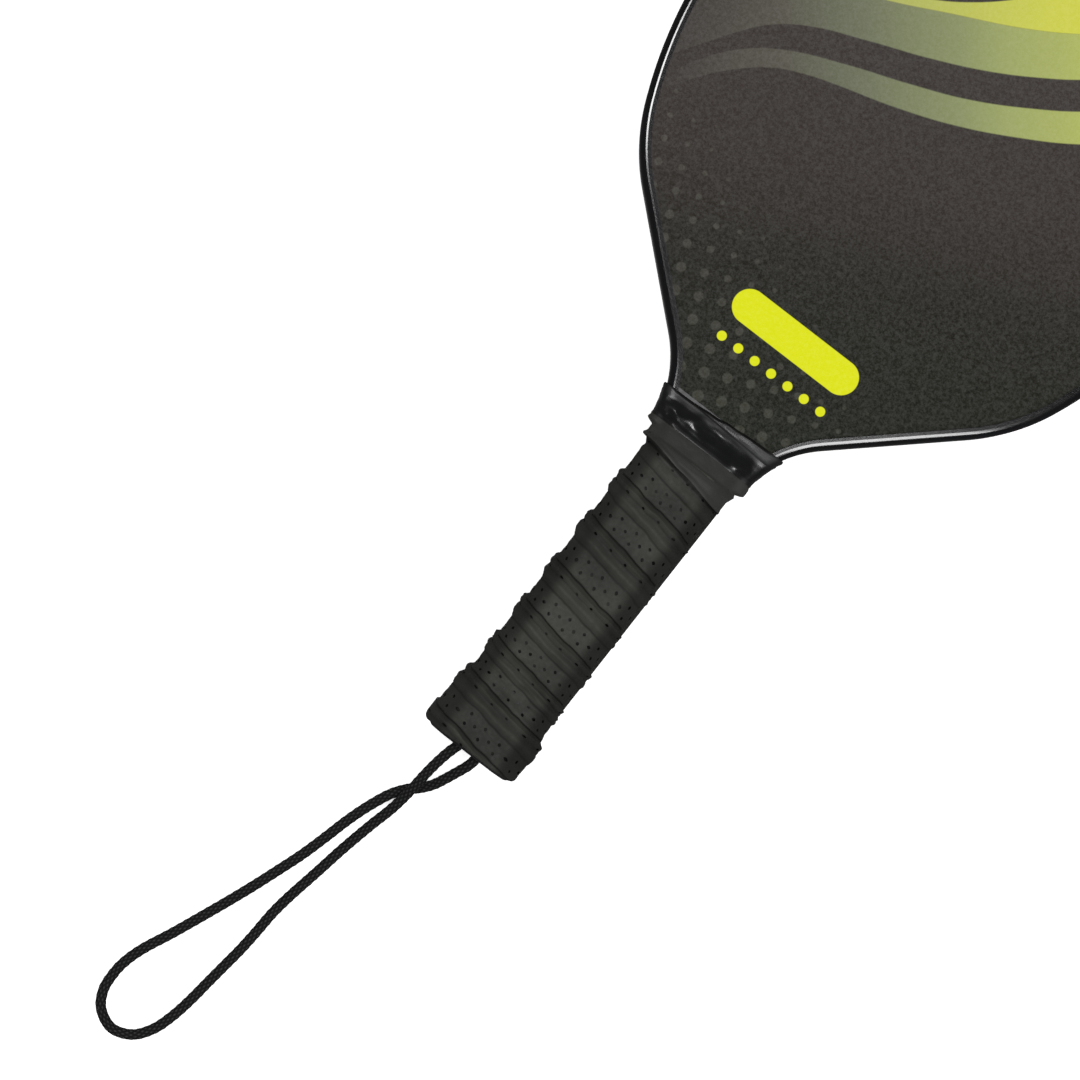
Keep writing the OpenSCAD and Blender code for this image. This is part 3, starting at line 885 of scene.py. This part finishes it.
def collarLook():
    look = Look("glossyTape", Roughness=0.26, Specular_IOR_Level=0.5, Coat_Weight=0.12,
                Coat_Roughness=0.16, Coat_IOR=1.6)
    place = look.objectPlace()
    pulled = look.grain(look.node("ShaderNodeMapping", None, {"Vector": place, "Scale": (60, 300, 60)}), 1, 2, 0.5)
    smudge = look.grain(place, 160, 3)
    y = look.split(place)[1]
    edge = look.rise(y, -0.0635, -0.0615, 0, 0.3) + look.rise(y, -0.0692, -0.07, 0, 0.2)  # duller at both edges
    colour = look.mix(smudge, tone(9, 10, 10), tone(18, 19, 18))
    return look.give(Base_Color=colour, Roughness=look.rise(smudge, 0.3, 0.75, 0.17, 0.3) + edge,
                     Normal=look.bump(pulled, 0.05 * mm, 0.25))


def makeBand():
    plan = bandPlan

    def edges(x):
        return plan["low"] + plan["tilt"] * x + 0.3 * math.sin(x / 3.1), plan["high"]

    def reach(angle, y, share):
        here = Vector((math.sin(angle) * 17, y, math.cos(angle) * 17))
        far = neckReach(angle, y) + plan["film"]
        far += (0.45 - 0.2 * math.sin(angle) ** 4) * ease(y, -75.8, -77.2)  # over the end of the wrap
        far += 0.5 * ease(share, 0.16, 0.02)      # its edge rides up on the wrap's first ridge
        return far + 0.16 * noise.noise(here / 4) + 0.06 * noise.noise(here / 1.5)

    band = makeTube(neckPlan["columns"], plan["rows"], edges, reach)
    thicken(band, plan["thick"])
    smooth(band, 50)
    settle(band, "finishing_band", bandLook(), "matte_tape", "finishing_tape")


def makeCollar():
    plan = collarPlan
    puckers = [  # x and y of each middle, half its length, half its breadth, its turn in degrees, its height
        (-15.6, -65.4, 3, 1.9, 24, 1.05), (-9, -65.3, 4.6, 1.7, 27, 0.9), (-5.4, -66.4, 1.8, 1.1, -10, 0.5),
        (-12.4, -69.4, 1.1, 1, 75, 0.5), (13.2, -67.5, 2.9, 1.9, 18, 1.2), (19.4, -61.8, 0.9, 0.8, 0, 0.45),
        (-18.6, -66.6, 4.8, 0.6, -47, 0.42), (4, -62.6, 7, 0.7, 3, 0.1), (0, -67.6, 8, 0.8, 4, 0.12),
    ]

    def edges(x):
        return plan["low"], plan["high"] + plan["tilt"] * x + 0.15 * math.sin(x / 2.3)

    def reach(angle, y, share):
        side = 1 if math.cos(angle) > 0 else -1
        far = neckReach(angle, y) + plan["film"]
        here = Vector((math.sin(angle) * 20, y, math.cos(angle) * 20))
        x = far * math.sin(angle) * side
        second = -60.7 - 0.04 * x                 # the edge of the layer below
        far += 0.22 * ease(y, second + 0.3, second - 0.3)
        far += 0.16 * noise.noise(here / 6) + 0.1 * noise.noise(Vector((here.x / 7, here.y / 1.3, here.z / 7)))
        for px, py, length, breadth, turn, high in puckers:
            c, d = math.cos(math.radians(turn)), math.sin(math.radians(turn))
            u, v = (x - px) * c + (y - py) * d, (y - py) * c - (x - px) * d
            far += high * math.exp(-(u / length) ** 4 - (v / breadth) ** 2)
        return far - 0.35 * ease(share, 0.95, 1) - 0.12 * ease(share, 0.03, 0)

    collar = makeTube(neckPlan["columns"], plan["rows"], edges, reach)
    for vert in collar.data.vertices:  # between the guard's lips the upper edge comes down to the face
        x, y, z = vert.co.x / mm, vert.co.y / mm, (vert.co.z - midZ) / mm
        top = edges(20 * x / math.hypot(x, z))[1]
        drop = ease(y, top - 0.9, top) * ease(abs(x), 19, 17)
        vert.co.z = midZ + math.copysign(abs(z) + (plan["face"] - abs(z)) * drop, z) * mm
    thicken(collar, plan["thick"])
    smooth(collar, 55)
    settle(collar, "throat_film", collarLook(), "glossy_tape", "throat_collar")


# ---- print on the faces

printPlan = {
    "reach": 100,        # mm from the middle to the end of the curves
    "foot": -50,         # y at the bottom of the curves, mm
    "height": 260,
    "thinLow": [(-100, -8), (-88, 12), (-78, 28), (-70, 37.5), (-60, 46), (-50, 51), (-40, 54.5), (-20, 60.5),
                (0, 68), (20, 78), (38, 89), (60, 107), (80, 131), (100, 162)],
    "thinHigh": [(-100, -2), (-88, 20), (-80, 35), (-70, 46.5), (-60, 53.5), (-40, 62.5), (-20, 70), (0, 78.5),
                 (20, 90), (31, 97.5), (60, 122), (80, 148), (100, 182)],
    "wideLow": [(-100, 5), (-90, 28), (-82, 40.5), (-78, 46.5), (-70, 56.5), (-60, 64), (-40, 73), (-20, 81),
                (0, 90.5), (15, 99.5), (25, 106.5), (50, 128), (75, 160), (100, 204)],
    "wideHigh": [(-100, 62), (-85, 69), (-72, 76), (-60, 81.5), (-45, 87), (-23, 97.6), (0, 109), (16, 119),
                 (40, 138), (65, 170), (80, 198), (100, 209)],
    "sunHigh": [(-100, 66), (-80, 76), (-60, 85), (-45, 91), (-33, 96.4), (-20, 104.8), (-7, 116.5),
                (5, 130), (20, 150), (40, 176), (60, 204), (100, 209)],
    "crestLow": [(-100, 104), (-80, 118), (-55, 131), (-30, 144), (-5, 162), (12, 180), (25, 204), (100, 209)],
    "crestHigh": [(-100, 128), (-80, 141), (-55, 154), (-35, 167), (-18, 184), (-8, 205), (100, 209)],
    "dotStart": (-15.2, -49.4),  # mm, the middle of one dot
    "dotTurn": 23.4,             # degrees
    "dotPitch": 8.15,            # mm
}


def printLook():
    plan = printPlan
    look = Look("printedFilm", Roughness=0.66, Specular_IOR_Level=0.2)
    place = look.objectPlace()
    x, y, unused = look.split(place, 1 / mm)

    def edge(name):
        line = [((px / plan["reach"] + 1) / 2, (py - plan["foot"]) / plan["height"]) for px, py in plan[name]]
        share = (x / plan["reach"] + 1) / 2
        return look.node("ShaderNodeFloatCurve", {"line": line}, {"Value": share}) * plan["height"] + plan["foot"]

    def above(name, softness=0.35):
        return look.rise(y - edge(name), -softness, softness)

    def between(low, high):
        return above(low) * (1 - above(high))

    ground = look.ramp((y - x * 0.45 + 60) / 150, [
        (0, tone(32, 34, 27)), (0.4, tone(40, 39, 34)), (0.66, tone(56, 51, 48)), (1, tone(62, 57, 54))])
    glow = look.ramp((x + y * 0.8 + 60) / 200, [
        (0, tone(74, 70, 66)), (0.2, tone(85, 82, 74)), (0.39, tone(109, 113, 91)), (0.59, tone(134, 141, 99)),
        (0.7, tone(153, 161, 101)), (0.81, tone(163, 171, 98)), (1, tone(184, 192, 89))])
    sun = look.ramp((x + y * 0.4 + 80) / 220, [
        (0, tone(121, 121, 93)), (0.35, tone(170, 174, 96)), (0.6, tone(197, 199, 80)), (1, tone(208, 210, 47))])
    start = look.rise(x, -96, -66)
    colour = look.mix(between("thinLow", "thinHigh") * start, ground, glow)
    colour = look.mix(between("wideLow", "wideHigh") * (start * 0.6 + 0.4), colour, glow)
    colour = look.mix(between("wideHigh", "sunHigh"), colour, sun)
    colour = look.mix(between("crestLow", "crestHigh"), colour, glow)

    turn = math.radians(plan["dotTurn"])
    dx = x - plan["dotStart"][0]
    dy = y - plan["dotStart"][1]
    u = (dx * math.cos(turn) + dy * math.sin(turn)) / plan["dotPitch"]
    v = (dy * math.cos(turn) - dx * math.sin(turn)) / plan["dotPitch"]
    cell = look.node("ShaderNodeVectorMath", {"operation": "FRACTION"}, {0: look.joined(u + 0.5, v + 0.5)})
    far = look.node("ShaderNodeVectorMath", {"operation": "DISTANCE"}, {0: cell, 1: (0.5, 0.5, 0)}, "Value")
    fade = y + x * 0.45
    size = look.rise(fade, -62, 2, 1.95, 0.4) / plan["dotPitch"]
    dots = look.rise(far - size, 0.035, -0.035) * look.rise(fade, 4, -24)
    colour = look.mix(dots * 0.17, colour, tone(120, 118, 108))

    # a plain bar with a row of studs under it
    bar = look.node("ShaderNodeVectorMath", {"operation": "LENGTH"}, {
        0: look.joined((abs(x - 3) - 19.5).maths("MAXIMUM", abs(x - 3) - 19.5, 0), y + 22.5)}, "Value")
    mark = look.rise(bar, 6.2, 5.9)
    studCell = look.node("ShaderNodeMath", {"operation": "FRACT"}, {0: (x - 3) / 7 + 0.5})
    stud = look.node("ShaderNodeVectorMath", {"operation": "LENGTH"}, {
        0: look.joined((studCell - 0.5) * 7, y + 36)}, "Value")
    mark = mark + look.rise(stud, 1.85, 1.55) * look.rise(abs(x - 3), 24.6, 24.4)
    colour = look.mix(mark, colour, tone(214, 219, 22))

    speck = look.grain(place, 780, 3, 0.7)
    fine = look.grain(place, 2200, 1)
    tooth = speck * 0.65 + fine * 0.35
    colour = look.mix(1.0, colour, look.rise(tooth, 0.3, 0.7, -0.02, 0.02), "ADD")
    return look.give(Base_Color=colour, Roughness=look.rise(tooth, 0.3, 0.7, 0.6, 0.74),
                     Normal=look.bump(tooth, 0.08 * mm, 0.6))


# ---- the pieces that stay as built

def plainLook(name, dark, pale, scale, rough, depth, **fixed):
    look = Look(name, **fixed)
    place = look.objectPlace()
    coarse = look.grain(place, scale, 4, 0.6)
    fine = look.cells(place, scale * 6)
    colour = look.mix(coarse, dark, pale)
    return look.give(Base_Color=colour, Roughness=look.rise(coarse, 0.3, 0.7, rough - 0.08, rough + 0.1),
                     Normal=look.bump(coarse + fine * 0.4, depth * mm, 0.5))


def dressNodes():
    film = printLook()
    skin = plainLook("skinLaminate", tone(36, 36, 37), tone(58, 58, 60), 220, 0.45, 0.04)
    core = plainLook("corePolymer", tone(214, 214, 208), tone(236, 236, 230), 120, 0.5, 0.05)
    foam = plainLook("palletFoam", tone(196, 176, 140), tone(214, 196, 160), 500, 0.8, 0.15)
    steel = plainLook("stapleSteel", tone(176, 177, 180), tone(198, 199, 202), 900, 0.28, 0.02, Metallic=1)
    knot = plainLook("knotBraid", tone(24, 25, 25), tone(44, 45, 45), 900, 0.65, 0.3)
    worn = {
        "front_print_film": film, "back_print_film": film, "front_skin": skin, "back_skin": skin,
        "honeycomb_core": core, "handle_core": core, "front_handle_pallet": foam, "back_handle_pallet": foam,
        "cap_staples": steel, "grip_staple": steel, "cord_knot": knot,
    }
    for name, material in worn.items():
        for slot in nodes[name].material_slots:
            slot.material = material
    print("dressed", len(worn), "built pieces")


# ---- studio

studioPlan = {
    "softboxes": [  # azimuth and elevation of its middle, size across and towards the top, distance, power, mirrored
        (100, 82, 1.0, 1.0, 2.1, 18, False),
        (176, 75, 0.3, 0.5, 2.1, 10, True),
        (-38, 73, 0.36, 1.1, 2.1, 18, True),
    ],
    "sky": 0.1,
    "backdrop": 0.95,
    "floor": 10,  # m across
}


def makeStudio():
    plan = studioPlan
    for azimuth, elevation, width, height, distance, power, mirrored in plan["softboxes"]:
        a, e = math.radians(azimuth), math.radians(elevation)
        out = Vector((math.cos(a) * math.cos(e), math.sin(a) * math.cos(e), math.sin(e)))
        bpy.ops.object.light_add(type="AREA", location=out * distance)
        box = bpy.context.object
        box.rotation_euler = (math.radians(90 - elevation), 0, math.radians(azimuth + 90))
        box.data.shape = "RECTANGLE"
        box.data.size = width
        box.data.size_y = height
        box.data.energy = power
        box.visible_camera = False
        box.visible_glossy = mirrored
    world = bpy.data.worlds.new("studio")
    bpy.context.scene.world = world
    world.use_nodes = True
    tree = world.node_tree
    glow = tree.nodes["Background"]
    seen = tree.nodes.new("ShaderNodeLightPath")
    pale = tree.nodes.new("ShaderNodeMix")
    pale.data_type = "RGBA"
    pale.inputs[6].default_value = (plan["sky"],) * 3 + (1,)
    pale.inputs[7].default_value = (plan["backdrop"],) * 3 + (1,)
    tree.links.new(seen.outputs["Is Camera Ray"], pale.inputs[0])
    tree.links.new(pale.outputs[2], glow.inputs[0])

    bpy.ops.object.select_all(action="DESELECT")
    bpy.ops.mesh.primitive_plane_add(size=plan["floor"], location=(0, 0, 0))
    floor = bpy.context.object
    floor.name = "studio_floor"
    look = Look("paperFloor", Roughness=0.9, Specular_IOR_Level=0.1, Emission_Strength=0.7)
    look.shader.inputs["Emission Color"].default_value = (1, 1, 1, 1)
    fibre = look.grain(look.objectPlace(), 30, 3)
    floor.data.materials.append(look.give(Base_Color=look.mix(fibre, tone(240, 240, 240), tone(244, 244, 244))))
    floor.visible_glossy = False  # the guard mirrors a dark room
    bpy.context.scene.view_settings.view_transform = "Standard"
    print("studio ready")


makeCamera()
makeCord()
makeGuard()
makeGrip()
makeCap()
makeBand()
makeCollar()
dressNodes()
makeStudio()
